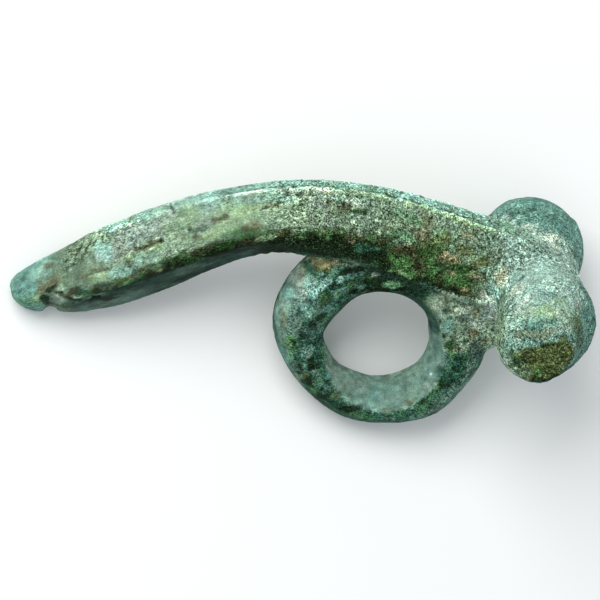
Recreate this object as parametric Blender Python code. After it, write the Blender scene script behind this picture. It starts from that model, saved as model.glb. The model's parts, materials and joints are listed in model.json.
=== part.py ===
"""A phallic pendant, cast solid in bronze in one piece, lying loose on its side.

The casting is modelled upright in its own frame: X runs along the shaft from the tip to the testicles, Z from
the keel to the back, Y across, and the centre of the hanging ring is the origin. lay_on_side() then turns it
onto the three places that it rests on: one testicle, the ring's rim and the side of the tip.
Lengths are metres, +Z is up, and the origin ends up under the middle of the lying pendant.
"""

from math import copysign, cos, exp, pi, radians, sin, tan

import bmesh
import bpy
from mathutils import Matrix, Vector

MM = 0.001

# --- Shaft: where its back and keel run in the middle plane, and how wide it is, in millimetres ---
# (back x, back z), (keel x, keel z), half width at the widest, half width of the flat back, and how far down
# from back to keel the lower edge lies
SHAFT_STATIONS = (
    ((-37.3, 7.8), (-37.3, 6.5), 0.7, 0.30, 0.60),  # the blunt tip
    ((-36.4, 8.7), (-36.5, 5.3), 1.7, 0.35, 0.60),
    ((-34.6, 9.9), (-34.6, 4.5), 2.4, 0.40, 0.60),
    ((-31.6, 11.3), (-30.6, 4.3), 2.9, 0.45, 0.60),
    ((-27.9, 13.3), (-26.3, 4.9), 3.1, 0.55, 0.62),
    ((-23.2, 15.1), (-20.9, 7.0), 3.2, 0.70, 0.64),
    ((-17.9, 16.6), (-16.0, 9.1), 3.2, 0.80, 0.66),
    ((-12.3, 17.5), (-11.2, 10.2), 3.2, 0.90, 0.68),
    ((-6.8, 17.6), (-6.9, 9.9), 3.3, 0.90, 0.76),
    ((-1.2, 16.8), (-2.8, 8.2), 3.4, 0.90, 0.77),
    ((4.3, 15.1), (1.5, 6.4), 3.6, 1.05, 0.79),
    ((9.6, 12.9), (6.5, 4.3), 3.7, 1.35, 0.82),
    ((14.0, 11.0), (11.5, 2.8), 3.6, 1.50, 0.80),
    ((17.6, 8.6), (16.2, 2.4), 2.8, 1.10, 0.80),  # buried between the testicles
)
RINGS_PER_STATION = 4

# Down a section, as shares of its depth from back to keel
WIDEST_AT = 0.45
SIDE_TUCK = 0.08  # how much narrower the lower edge is than the widest place
KEEL_HALF_WIDTH = 0.25  # share of the half width
SIDE_STEPS = 4

# The nick under the glans, cut across the keel
NICK_X, NICK_TOP = -33.4, 5.3
NICK_DEPTH = 2.0
NICK_HALF_ANGLE = 42.0
NICK_LENGTH = 9.0

# --- Hanging ring, centred on the origin, in millimetres and degrees ---
HOLE_RADIUS = 5.35
HOLE_SHIFT, HOLE_SHIFT_AT = 0.25, 210.0  # the hole sits a little off the ring's centre, this far and this way
RIM_RADIUS = 10.0
SWELL, SWELL_AT, SWELL_SPREAD = 0.8, 303.0, 30.0  # the rim's heavy side, towards the testicles
SHAFT_FLARE = (1.4, 205.0, 160.0)  # where the rim spreads to meet the shaft: how far, from, to
TESTICLE_FLARE = (0.9, 312.0, 345.0)
RING_HALF_WIDTH = 2.35
RING_SQUARENESS = 2.3  # the section is a superellipse of this power: 2 is round
RING_TURNS, RING_SIDES = 56, 18
# A flat worn inside the hole at the bottom, where a thong bears: its depth, and half its size along X and Y
STRAP_FLAT_DEPTH, STRAP_FLAT_HALF_LENGTH, STRAP_FLAT_HALF_WIDTH = 0.12, 1.1, 1.0

# The web that fills the corner between the ring, the shaft and the testicles: a skin round three balls
WEB_CORNERS = ((6.8, 4.6), (13.2, 3.2), (10.4, 0.1))
WEB_HALF_WIDTH = 2.3
WEB_SEGMENTS, WEB_BANDS = 20, 12

# --- Testicles: a bar across the shaft's end that swells into two domes, in millimetres ---
SCROTUM_X, SCROTUM_Z = 16.1, 4.45
# (distance along Y, radius): one end is worn flat, the other is a whole dome
SCROTUM_PROFILE = (
    (-12.9, 1.3),
    (-12.75, 2.8),
    (-12.2, 3.65),
    (-11.2, 4.25),
    (-9.6, 4.8),
    (-7.4, 5.15),
    (-4.6, 4.85),
    (-1.0, 4.3),
    (2.2, 4.15),
    (4.8, 4.95),
    (7.5, 5.6),
    (10.2, 4.95),
    (11.8, 3.7),
    (12.7, 2.0),
    (12.9, 0.7),
)
WORN_END_LEAN, LEAN_FROM, LEAN_OVER = 1.3, -6.0, 6.0  # the worn dome leans towards the tip
SCROTUM_TURNS = 32
PROFILE_STEPS = 2

# --- How it lies ---
SIDE_DOWN = Vector((-0.18, 0.86, -0.47))  # roughly down, in the casting's own frame
SETTLING_TURNS = 8
GLANS_BEFORE_X, TESTICLES_AFTER_X = -25.0, 11.0  # which stretch of the casting each resting point is on
REST_FLAT_DEPTH = 0.10  # millimetres worn off each place that it lies on

BRONZE_COLOUR = (0.16, 0.27, 0.19, 1.0)
BRONZE_ROUGHNESS = 0.6
BRONZE_METALLIC = 0.35


def smooth_step(share):
    """0 below 0, 1 above 1, and a smooth rise between."""
    share = max(0.0, min(1.0, share))
    return share * share * (3.0 - 2.0 * share)


def curve_through(rows, per_gap):
    """Rows of numbers along a Catmull-Rom curve through the given rows, per_gap steps between neighbours."""
    last = len(rows) - 1
    made = []
    for step in range(last * per_gap + 1):
        gap = min(step // per_gap, last - 1)
        u = step / per_gap - gap
        before, start, end, after = (rows[max(0, min(last, gap + k))] for k in (-1, 0, 1, 2))
        row = []
        for a, b, c, d in zip(before, start, end, after):
            bend = (2 * a - 5 * b + 4 * c - d) * u**2 + (3 * b - a - 3 * c + d) * u**3
            row.append(0.5 * (2 * b + (c - a) * u + bend))
        made.append(row)
    return made


def shaft_section(row):
    """The shaft's closed outline at one station: flat back, round sides, a lower edge and a blunt keel."""
    back = Vector((row[0], 0.0, row[1]))
    keel = Vector((row[2], 0.0, row[3]))
    half_width, back_half_width, lower_edge_at = row[4:]
    side = []
    for step in range(SIDE_STEPS + 1):
        share = step / SIDE_STEPS
        bulge = back_half_width + (half_width - back_half_width) * sin(pi / 2 * share)
        side.append((share * WIDEST_AT, bulge))
    side.append((lower_edge_at, half_width * (1.0 - SIDE_TUCK)))
    side.append((1.0, half_width * KEEL_HALF_WIDTH))
    left = [back.lerp(keel, depth) + Vector((0.0, -width, 0.0)) for depth, width in side]
    right = [Vector((p.x, -p.y, p.z)) for p in reversed(left)]
    return left + right


def add_tube(bm, loops, closed):
    """Faces between neighbouring vertex loops. An open tube gets a face on each end."""
    count = len(loops[0])
    pairs = list(zip(loops, loops[1:]))
    if closed:
        pairs.append((loops[-1], loops[0]))
    for first, second in pairs:
        for i in range(count):
            j = (i + 1) % count
            bm.faces.new((first[i], first[j], second[j], second[i]))
    if not closed:
        bm.faces.new(reversed(loops[0]))
        bm.faces.new(loops[-1])


def new_object(name, bm):
    """A mesh object from bm, in metres, with its faces pointing out."""
    bmesh.ops.scale(bm, vec=(MM, MM, MM), verts=bm.verts)
    bmesh.ops.recalc_face_normals(bm, faces=bm.faces)
    mesh = bpy.data.meshes.new(name)
    bm.to_mesh(mesh)
    bm.free()
    obj = bpy.data.objects.new(name, mesh)
    bpy.context.scene.collection.objects.link(obj)
    return obj


def make_shaft():
    rows = [(*back, *keel, *widths) for back, keel, *widths in SHAFT_STATIONS]
    bm = bmesh.new()
    loops = [[bm.verts.new(p) for p in shaft_section(row)] for row in curve_through(rows, RINGS_PER_STATION)]
    add_tube(bm, loops, closed=False)
    return new_object("phallic_pendant", bm)


def hole_radius(degrees):
    return HOLE_RADIUS + HOLE_SHIFT * cos(radians(degrees - HOLE_SHIFT_AT))


def rim_radius(degrees):
    """The ring's outer radius: it swells on one side, and flares where its two limbs meet the rest."""
    radius = RIM_RADIUS + SWELL * exp(-(((degrees - SWELL_AT) / SWELL_SPREAD) ** 2))
    if degrees > 90.0:
        for spread, start, end in (SHAFT_FLARE, TESTICLE_FLARE):
            radius += spread * smooth_step((degrees - start) / (end - start))
    return radius


def squared_off(ratio):
    """A sine or cosine turned into its superellipse's."""
    return copysign(abs(ratio) ** (2.0 / RING_SQUARENESS), ratio)


def make_ring():
    bm = bmesh.new()
    loops = []
    for turn in range(RING_TURNS):
        degrees = 360.0 * turn / RING_TURNS
        out = Vector((cos(radians(degrees)), 0.0, sin(radians(degrees))))
        half_wall = (rim_radius(degrees) - hole_radius(degrees)) / 2
        centre = out * (hole_radius(degrees) + half_wall)
        loop = []
        for side in range(RING_SIDES):
            angle = 2 * pi * side / RING_SIDES
            across = Vector((0.0, RING_HALF_WIDTH * squared_off(sin(angle)), 0.0))
            loop.append(bm.verts.new(centre + out * (half_wall * squared_off(cos(angle))) + across))
        loops.append(loop)
    add_tube(bm, loops, closed=True)
    return new_object("ring", bm)


def make_web():
    bm = bmesh.new()
    for x, z in WEB_CORNERS:
        place = Matrix.Translation((x, 0.0, z))
        bmesh.ops.create_uvsphere(
            bm, u_segments=WEB_SEGMENTS, v_segments=WEB_BANDS, radius=WEB_HALF_WIDTH, matrix=place
        )
    bmesh.ops.delete(bm, geom=bm.edges[:], context="EDGES_FACES")
    bmesh.ops.convex_hull(bm, input=bm.verts)
    bmesh.ops.delete(bm, geom=[vert for vert in bm.verts if not vert.link_faces], context="VERTS")
    return new_object("web", bm)


def make_testicles():
    """A turned bar along Y."""
    bm = bmesh.new()
    loops = []
    for y, radius in curve_through(SCROTUM_PROFILE, PROFILE_STEPS):
        lean = WORN_END_LEAN * smooth_step((LEAN_FROM - y) / LEAN_OVER)
        angles = [2 * pi * turn / SCROTUM_TURNS for turn in range(SCROTUM_TURNS)]
        ring = [(SCROTUM_X - lean + radius * cos(a), y, SCROTUM_Z + radius * sin(a)) for a in angles]
        loops.append([bm.verts.new(p) for p in ring])
    add_tube(bm, loops, closed=False)
    return new_object("testicles", bm)


def make_wedge(name, tip, half_angle, depth, length):
    """A V-shaped cutter along Y, its edge up at tip and opening downwards."""
    spread = depth * tan(radians(half_angle))
    bm = bmesh.new()
    corners = [(tip[0], tip[1]), (tip[0] - spread, tip[1] - depth), (tip[0] + spread, tip[1] - depth)]
    loops = [[bm.verts.new((x, y, z)) for x, z in corners] for y in (-length / 2, length / 2)]
    add_tube(bm, loops, closed=False)
    return new_object(name, bm)


def make_block(name, low, high):
    """A rectangular cutter between two corners."""
    bm = bmesh.new()
    bmesh.ops.create_cube(bm, size=1.0)
    size = [h - l for l, h in zip(low, high)]
    middle = [(h + l) / 2 for l, h in zip(low, high)]
    bmesh.ops.scale(bm, vec=size, verts=bm.verts)
    bmesh.ops.translate(bm, vec=middle, verts=bm.verts)
    return new_object(name, bm)


def combine(target, other, operation):
    """Adds a Boolean with other, which becomes a hidden helper."""
    modifier = target.modifiers.new(f"{operation.lower()} {other.name}", "BOOLEAN")
    modifier.object = other
    modifier.operation = operation
    modifier.solver = "EXACT"
    other.hide_render = True
    other.display_type = "WIRE"


def apply_modifiers(obj):
    """Replaces obj's mesh with what its modifiers make of it."""
    graph = bpy.context.evaluated_depsgraph_get()
    made = bpy.data.meshes.new_from_object(obj.evaluated_get(graph))
    obj.modifiers.clear()
    obj.data = made


def resting_points(points, down):
    """The lowest point of each of the three parts that the pendant lies on, down being a direction."""
    glans = [p for p in points if p.x < GLANS_BEFORE_X * MM]
    ring = [p for p in points if p.x < TESTICLES_AFTER_X * MM and p.z < 0.0]
    testicles = [p for p in points if p.x > TESTICLES_AFTER_X * MM]
    return [max(group, key=lambda p: p.dot(down)) for group in (glans, ring, testicles)]


def resting_turn(points):
    """The rotation that puts the three resting points on a level floor, with the shaft along X."""
    down = SIDE_DOWN.normalized()
    for _ in range(SETTLING_TURNS):
        glans, ring, testicle = resting_points(points, down)
        plane = (ring - glans).cross(testicle - glans).normalized()
        down = plane if plane.dot(down) > 0 else -plane
    up = -down
    along = Vector((1.0, 0.0, 0.0))
    along = (along - up * along.dot(up)).normalized()
    return Matrix((along, up.cross(along), up))


def lay_on_side(obj):
    """Turns obj onto its resting points, wears a small flat at each, and puts the origin under its middle."""
    turn = resting_turn([v.co.copy() for v in obj.data.vertices])
    bm = bmesh.new()
    bm.from_mesh(obj.data)
    bmesh.ops.transform(bm, matrix=turn.to_4x4(), verts=bm.verts)
    floor = min(v.co.z for v in bm.verts) + REST_FLAT_DEPTH * MM
    everything = bm.verts[:] + bm.edges[:] + bm.faces[:]
    bmesh.ops.bisect_plane(
        bm, geom=everything, dist=1e-7, plane_co=(0, 0, floor), plane_no=(0, 0, -1), clear_outer=True
    )
    bmesh.ops.holes_fill(bm, edges=[edge for edge in bm.edges if edge.is_boundary], sides=0)
    low = [min(v.co[axis] for v in bm.verts) for axis in range(3)]
    high = [max(v.co[axis] for v in bm.verts) for axis in range(3)]
    under_middle = Vector(((low[0] + high[0]) / 2, (low[1] + high[1]) / 2, low[2]))
    bmesh.ops.translate(bm, vec=-under_middle, verts=bm.verts)
    bmesh.ops.recalc_face_normals(bm, faces=bm.faces)
    bm.to_mesh(obj.data)
    bm.free()


def bronze():
    material = bpy.data.materials.new("patinated_bronze")
    material.use_nodes = True
    shader = material.node_tree.nodes["Principled BSDF"]
    shader.inputs["Base Color"].default_value = BRONZE_COLOUR
    shader.inputs["Roughness"].default_value = BRONZE_ROUGHNESS
    shader.inputs["Metallic"].default_value = BRONZE_METALLIC
    return material


def main():
    for obj in list(bpy.data.objects):
        bpy.data.objects.remove(obj)

    pendant = make_shaft()
    ring = make_ring()
    web = make_web()
    testicles = make_testicles()
    nick = make_wedge("nick", (NICK_X, NICK_TOP), NICK_HALF_ANGLE, NICK_DEPTH, NICK_LENGTH)
    strap_flat_at = -hole_radius(270.0) - STRAP_FLAT_DEPTH
    strap_flat = make_block(
        "strap_flat",
        (-STRAP_FLAT_HALF_LENGTH, -STRAP_FLAT_HALF_WIDTH, strap_flat_at),
        (STRAP_FLAT_HALF_LENGTH, STRAP_FLAT_HALF_WIDTH, 0.0),
    )
    combine(pendant, ring, "UNION")
    combine(pendant, web, "UNION")
    combine(pendant, testicles, "UNION")
    combine(pendant, nick, "DIFFERENCE")
    combine(pendant, strap_flat, "DIFFERENCE")
    apply_modifiers(pendant)
    lay_on_side(pendant)
    pendant.data.materials.clear()
    pendant.data.materials.append(bronze())
    pendant.data.shade_smooth()
    pendant.data.set_sharp_from_angle(angle=radians(30.0))


main()
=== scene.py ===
"""The looks of a phallic pendant, cast in bronze and lying on its side on a pale surface.

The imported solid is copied, remeshed finely and worked on in the casting's own frame, in millimetres. X runs
along the shaft from the tip to the testicles, Y from the near side to the far one, and Z from the ring to the
back. The centre of the hanging ring is the origin. The corroded surface is real relief. Its patina is painted
into mesh attributes, which the material turns into colour, grain and gloss.
"""

import json
from itertools import product
from math import atan, cos, radians, sin

import bmesh
import bpy
import numpy as np
from mathutils import Matrix, Vector


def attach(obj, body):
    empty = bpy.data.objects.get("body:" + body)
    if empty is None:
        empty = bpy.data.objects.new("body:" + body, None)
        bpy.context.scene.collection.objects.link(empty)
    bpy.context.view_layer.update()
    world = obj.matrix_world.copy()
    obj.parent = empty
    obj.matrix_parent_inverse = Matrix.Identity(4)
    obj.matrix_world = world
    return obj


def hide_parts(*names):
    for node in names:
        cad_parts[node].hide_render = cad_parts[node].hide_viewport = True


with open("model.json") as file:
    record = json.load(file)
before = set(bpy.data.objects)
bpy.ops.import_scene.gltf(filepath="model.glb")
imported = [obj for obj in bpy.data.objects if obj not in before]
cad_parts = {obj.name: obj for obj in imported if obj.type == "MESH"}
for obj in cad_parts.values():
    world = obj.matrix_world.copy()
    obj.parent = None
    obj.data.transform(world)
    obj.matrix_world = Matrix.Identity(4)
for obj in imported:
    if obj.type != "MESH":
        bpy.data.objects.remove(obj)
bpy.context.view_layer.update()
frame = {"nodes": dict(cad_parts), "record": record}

MM = 0.001
NODE = "phallic_pendant"

# --- The casting and its mesh, in millimetres ---
VOXEL = 0.2
WELD = 0.0005
BEARING_TO_RING_CENTRE = 5.6  # from the flat worn in the ring's hole up to the ring's centre
HOLE_RADIUS = 5.4
WALL_DEPTH = 1.2  # how far the ring's near face falls from the crest round its hole's lower wall to the hole
FACE_DEPTH = 2.3  # from the ring's middle to its near face
ARCH_TOP = 17.6  # the height of the shaft's back at the top of its arch
BACK_EDGE_X = (-16.0, -8.0, 4.0, 13.0)  # places along the edge between the near side and the back
BACK_EDGE_Y = (-0.75, -0.90, -1.15, -1.55)
CREASE_X = (-9.0, -4.0, -1.0, 2.0, 8.0, 12.0)  # places along the crease between the shaft and the ring
CREASE_BELOW = (7.1, 6.9, 7.0, 8.0, 8.0, 8.4)  # how far below the back it lies
NICK_DEPTH = 0.50
BUMP = 0.08
FAR = 9.0  # added to a distance to put a point out of reach

# --- The view: a camera over the lying pendant, placed from the casting's own frame ---
CAMERA_YAW = 5.0  # degrees towards the tip, from square on to the near side
CAMERA_PITCH = 30.0  # degrees towards the back
CAMERA_DISTANCE = 500.0
CAMERA_AIM = (-8.18, 3.35)  # millimetres right of and above the ring's centre, in the picture plane
PICTURE_WIDTH = 60.97  # millimetres across, at the ring's centre

# --- Light and floor, in metres ---
# name, the direction it comes from in the picture's axes, distance, size, watts, colour
LIGHTS = (
    ("key", (-0.2, 0.5, 0.84), 0.45, 0.30, 1.75, (1.0, 0.99, 0.96)),
    ("fill", (-0.3, 0.0, 1.0), 0.5, 0.4, 0.3, (0.95, 0.98, 1.0)),
)
SKY_COLOUR = (0.93, 0.97, 1.0, 1.0)
SKY_STRENGTH = 0.55
FLOOR_SIZE = 4.0
FLOOR_COLOUR = (0.89, 0.90, 0.90, 1.0)

# --- Patina colours, linear ---
PALETTE = {
    "teal": (0.11, 0.23, 0.19),
    "petrol": (0.018, 0.070, 0.042),
    "aqua": (0.23, 0.42, 0.35),
    "ice": (0.40, 0.54, 0.47),
    "sage": (0.21, 0.31, 0.21),
    "lime": (0.25, 0.38, 0.21),
    "fern": (0.10, 0.24, 0.12),
    "mauve": (0.20, 0.27, 0.225),
    "ash": (0.12, 0.18, 0.12),
    "moss": (0.052, 0.138, 0.043),
    "pine": (0.019, 0.054, 0.014),
    "olive": (0.065, 0.085, 0.025),
    "black": (0.004, 0.012, 0.004),
    "brown": (0.105, 0.110, 0.060),
    "umber": (0.028, 0.028, 0.012),
    "tan": (0.21, 0.21, 0.11),
    "cream": (0.50, 0.60, 0.47),
    "frost": (0.27, 0.40, 0.34),
    "slate": (0.14, 0.235, 0.185),
    "flint": (0.022, 0.055, 0.042),
}
PATCH_REACH = 2.6  # how many times a patch's size its ragged edge may reach
PATCH_RAGGEDNESS = 0.60
PATCH_EDGE = (1.30, 0.75)  # where a patch's edge begins and where it is full

# --- What the finest grain does to the colour: shades to multiply by, and light to add, partly as painted glints ---
GAP_SHADE = (0.11, 0.14, 0.09, 1.0)
PALE_SHADE = (2.2, 2.1, 2.1, 1.0)
THREAD_SHADE = (0.25, 0.25, 0.20, 1.0)
FLECK_AND_GLINT_LIGHT = (0.15, 0.18, 0.10, 1.0)


def rows(text):
    """A table from text. Each line is a row of numbers, which may come after a colour's name."""
    lines = text.strip().split("\n")
    return [[word if word.isalpha() else float(word) for word in line.split()] for line in lines]


# --- Noise, on arrays of points ---
def scrambled(cells, seed):
    """One even random number from 0 to 1 for each row of whole numbers."""
    mixed = cells[:, 0] * 73856093 ^ cells[:, 1] * 19349663 ^ cells[:, 2] * 83492791 ^ seed * 2654435761
    mixed = (mixed ^ (mixed >> 13)) * 1274126177
    mixed = (mixed ^ (mixed >> 16)) * 2246822519
    return ((mixed ^ (mixed >> 11)) & 0xFFFF) / 65535.0


def lumps(points, size, seed):
    """Smooth noise from -1 to 1 with lumps about size across. size is a number, or one for each axis."""
    cell = points / np.asarray(size, float) + 0.37 * seed
    base = np.floor(cell).astype(np.int64)
    part = cell - base
    part = part * part * (3.0 - 2.0 * part)
    total = np.zeros(len(points))
    for corner in product((0, 1), repeat=3):
        weight = np.ones(len(points))
        for axis, step in enumerate(corner):
            weight *= part[:, axis] if step else 1.0 - part[:, axis]
        total += weight * scrambled(base + np.array(corner), seed)
    return 2.0 * total - 1.0


def fractal(points, size, seed, octaves=3):
    """Lumps on lumps, each octave half the size and height of the last, from about -1 to 1."""
    total = np.zeros(len(points))
    for octave in range(octaves):
        total += lumps(points, np.asarray(size, float) / 2**octave, seed + 17 * octave) / 2**octave
    return total


def spots(points, size, seed):
    """Distance to the nearest of random spots, about size apart: 0 on a spot, 1 a whole size away."""
    cell = points / np.asarray(size, float)
    base = np.floor(cell).astype(np.int64)
    nearest = np.full(len(points), 9.0)
    for corner in product((-1, 0, 1), repeat=3):
        other = base + np.array(corner)
        place = np.stack([scrambled(other, seed + axis) for axis in range(3)], axis=1)
        nearest = np.minimum(nearest, ((other + place - cell) ** 2).sum(axis=1))
    return np.sqrt(nearest)


def ramp(values, start, end):
    """0 at start, 1 at end, smooth between. start may be over end."""
    share = np.clip((values - start) / (end - start), 0.0, 1.0)
    return share * share * (3.0 - 2.0 * share)


# --- The casting's frame and mesh ---
def casting_to_frame():
    """The matrix from the casting's own frame, in millimetres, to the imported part's, in metres."""
    bearing = next(mount for mount in frame["record"]["mounts"] if mount["name"] == "ring_bearing")
    up = Vector(bearing["axis"]).normalized()
    along = Vector((up.z, 0.0, -up.x)).normalized()
    across = up.cross(along)
    turn = Matrix((along, across, up)).transposed()
    centre = Vector(bearing["pos_m"]) + up * BEARING_TO_RING_CENTRE * MM
    return Matrix.Translation(centre) @ (turn * MM).to_4x4()


def welded(mesh):
    """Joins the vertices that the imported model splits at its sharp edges."""
    bm = bmesh.new()
    bm.from_mesh(mesh)
    bmesh.ops.remove_doubles(bm, verts=bm.verts, dist=WELD)
    bm.to_mesh(mesh)
    bm.free()


def added(name, data):
    """A new object in the scene."""
    obj = bpy.data.objects.new(name, data)
    bpy.context.scene.collection.objects.link(obj)
    return obj


def fine_copy(source, name, to_casting):
    """A new object with a fine, even, closed mesh of source, in the casting's frame."""
    mesh = source.data.copy()
    mesh.transform(to_casting)
    welded(mesh)
    obj = added(name, mesh)
    remesh = obj.modifiers.new("remesh", "REMESH")
    remesh.mode = "VOXEL"
    remesh.voxel_size = VOXEL
    graph = bpy.context.evaluated_depsgraph_get()
    obj.data = bpy.data.meshes.new_from_object(obj.evaluated_get(graph))
    obj.modifiers.clear()
    obj.data.name = name
    return obj


def read(items, name, width, kind=float):
    """One named value of each of a mesh's items, as rows of so many numbers."""
    values = np.empty(len(items) * width, kind)
    items.foreach_get(name, values)
    return values.reshape(-1, width)


class Skin:
    """The pendant's surface as arrays, in the casting's frame."""

    def __init__(self, mesh):
        self.mesh = mesh
        self.count = len(mesh.vertices)
        self.points = read(mesh.vertices, "co", 3)
        self.edges = read(mesh.edges, "vertices", 2, np.int32)
        self.degree = np.bincount(self.edges.ravel(), minlength=self.count).astype(float)
        self.update()

    def update(self):
        """Writes the points to the mesh and reads its normals back."""
        self.mesh.vertices.foreach_set("co", self.points.ravel())
        self.mesh.update()
        self.normals = read(self.mesh.vertex_normals, "vector", 3)

    def neighbours_mean(self, values):
        """The mean of each vertex's neighbours, for one number or one row of numbers a vertex."""
        first, second = self.edges.T
        columns = []
        for column in values.reshape(self.count, -1).T:
            total = np.bincount(first, column[second], self.count)
            total += np.bincount(second, column[first], self.count)
            columns.append(total / self.degree)
        return np.stack(columns, axis=1).reshape(values.shape)

    def blurred(self, values, times):
        """Values, evened out over the surface so many times."""
        for _ in range(times):
            values = 0.5 * values + 0.5 * self.neighbours_mean(values)
        return values

    def hollowness(self):
        """How far each point lies under its neighbours' mean: positive in a crease, negative on an edge."""
        return ((self.neighbours_mean(self.points) - self.points) * self.normals).sum(axis=1)

    def push(self, heights):
        """Moves each point out along its normal by its height."""
        self.points = self.points + self.normals * heights[:, None]
        self.update()


def fill_creases(skin, rounds, amount):
    """Fills creases into fillets, as casting leaves them, and leaves the edges. amount is a share a point."""
    for _ in range(rounds):
        step = skin.neighbours_mean(skin.points) - skin.points
        rising = (step * skin.normals).sum(axis=1) > 0.0
        skin.points = skin.points + step * (0.5 * amount * rising)[:, None]
        skin.update()


def smooth(skin, rounds, amount=0.5):
    """Evens the surface out. amount is one share, or a share a point."""
    share = np.broadcast_to(amount, skin.count)[:, None]
    for _ in range(rounds):
        skin.points = skin.points + share * (skin.neighbours_mean(skin.points) - skin.points)
    skin.update()


# --- Where things are on the casting ---
class Places:
    """Parts of the casting by name, each a share from 0 to 1 at every point, and distances measured on it."""

    def __init__(self, skin):
        x, y, z = skin.points.T
        self.points = skin.points.copy()
        self.x, self.y, self.z = x, y, z
        self.facing = skin.normals.copy()
        self.below = back_line(x, y, z) - z
        self.off_edge = y - np.interp(x, BACK_EDGE_X, BACK_EDGE_Y)
        self.radius = np.maximum(np.hypot(x, z), 0.1)
        self.angle = np.degrees(np.arctan2(z, x)) % 360.0
        self.outward = (x * self.facing[:, 0] + z * self.facing[:, 2]) / self.radius
        self.near = ramp(y, 0.6, -0.2)
        self.testicles = ramp(x, 10.5, 13.5) * ramp(np.abs(y), 3.2, 4.4)
        self.saddle = ramp(x, 10.0, 13.5) * (1.0 - self.testicles)
        past_crease = self.below - np.interp(x, CREASE_X, CREASE_BELOW)
        self.ring = ramp(past_crease, -0.35, 0.35) * ramp(x, 13.2, 11.8) * ramp(x, -13.0, -12.0)
        self.shaft = ramp(x, 13.5, 10.0) * (1.0 - self.ring)
        self.underside = self.shaft * ramp(-self.facing[:, 2], 0.28, 0.45) * ramp(x, -32.5, -30.0)
        self.back = self.shaft * ramp(self.facing[:, 2], 0.55, 0.85) * ramp(self.below, 1.2, 0.5)
        self.back *= ramp(x, -23.0, -18.0)
        self.wall_rim = 6.0 + 2.0 * np.maximum(0.0, np.cos(np.radians(self.angle - 281.0))) ** 1.5

    def turned(self, angle):
        """How many degrees round the ring each point is from an angle."""
        return (self.angle - angle + 180.0) % 360.0 - 180.0

    def on_shaft(self, start_x, start_below, end_x, end_below, half_width):
        """Distance from a streak on the shaft's near side, 1 at its rim."""
        places = np.stack([self.x, self.below], axis=1)
        away = from_line(places, (start_x, start_below), (end_x, end_below))
        return away / half_width + FAR * ramp(self.y, 1.8, 2.6)

    def on_side(self, x, z, half_x, half_z):
        """The same for a place on the near side."""
        away = np.hypot((self.x - x) / half_x, (self.z - z) / half_z)
        return away + FAR * (1.0 - self.near)

    def on_ring(self, angle, radius, half_angle, half_width):
        """The same for a place on the ring's near face, by degrees and radius."""
        away = np.hypot(self.turned(angle) / half_angle, (self.radius - radius) / half_width)
        return away + FAR * (1.0 - self.near)

    def about(self, centre, radii):
        """The same in space, where the rim is an ellipsoid."""
        return np.sqrt((((self.points - np.array(centre)) / np.array(radii)) ** 2).sum(axis=1))


def from_line(places, start, end):
    """How far each place lies from the line between two others."""
    start, along = np.array(start), np.array(end) - np.array(start)
    share = np.clip((places - start) @ along / max(along @ along, 1e-9), 0.0, 1.0)
    return np.linalg.norm(places - start - share[:, None] * along, axis=1)


def back_line(x, y, z):
    """The height of the shaft's back over each x, read from the points near the middle plane."""
    middle = np.abs(y) < 1.5
    stops = np.arange(x.min(), x.max(), 0.5)
    cell = np.clip(((x[middle] - stops[0]) / 0.5).astype(int), 0, len(stops) - 1)
    heights = np.full(len(stops), -99.0)
    np.maximum.at(heights, cell, z[middle])
    smoothed = np.convolve(np.pad(heights, 2, mode="edge"), np.ones(5) / 5, mode="valid")
    return np.interp(x, stops + 0.25, smoothed)


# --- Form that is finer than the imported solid's ---
# Swellings: x, y and z of the middle, radius, height along the surface's normal.
SWELLINGS = rows("""
-37.4 -1 7.4 2.2 .22
-35.2 -2.4 5.2 1.5 .25
-31.2 -3.2 5.6 1.6 .35
-24 1 15.2 6 .12
-31 .5 11.6 3 .15
-7.5 -.5 9.2 2.2 .3
14.5 7.5 10.4 2.6 .25
15.4 -3.8 9.2 2 .45
12.6 -4.4 7.6 1.5 .3
18 7.2 9.6 1.8 .2
20.6 7.1 7.6 1 .2
20.6 -8 7 2.8 -.3
18.6 -10.6 3.6 2.2 -.22
16.6 -12 1.6 1.4 -.15
19.6 -3.6 7.6 1.2 -.25
-28 -1 6.2 3.5 -.16
-13.5 -.6 10.6 3 -.16
12 -12 3.4 1.8 -.2
14.6 -12.4 1 1.3 .25
""")

# (degrees round the ring, degrees each way, how far the edge lies outside an even ring)
RING_OUTLINE = (
    (138.0, 22.0, 0.22),
    (222.0, 16.0, -0.25),
    (304.0, 16.0, 0.27),
)
HOLE_OUTLINE = (
    (140.0, 16.0, -0.28),
    (178.0, 13.0, 0.28),
    (243.0, 16.0, -0.20),
    (312.0, 16.0, 0.25),
    (2.0, 14.0, -0.2),
)


def swell(skin):
    """Swells and sinks the form round each of a few places."""
    for *centre, radius, height in SWELLINGS:
        away = np.linalg.norm(skin.points - np.array(centre), axis=1) / radius
        skin.push(height * np.exp(-away * away))


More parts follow.
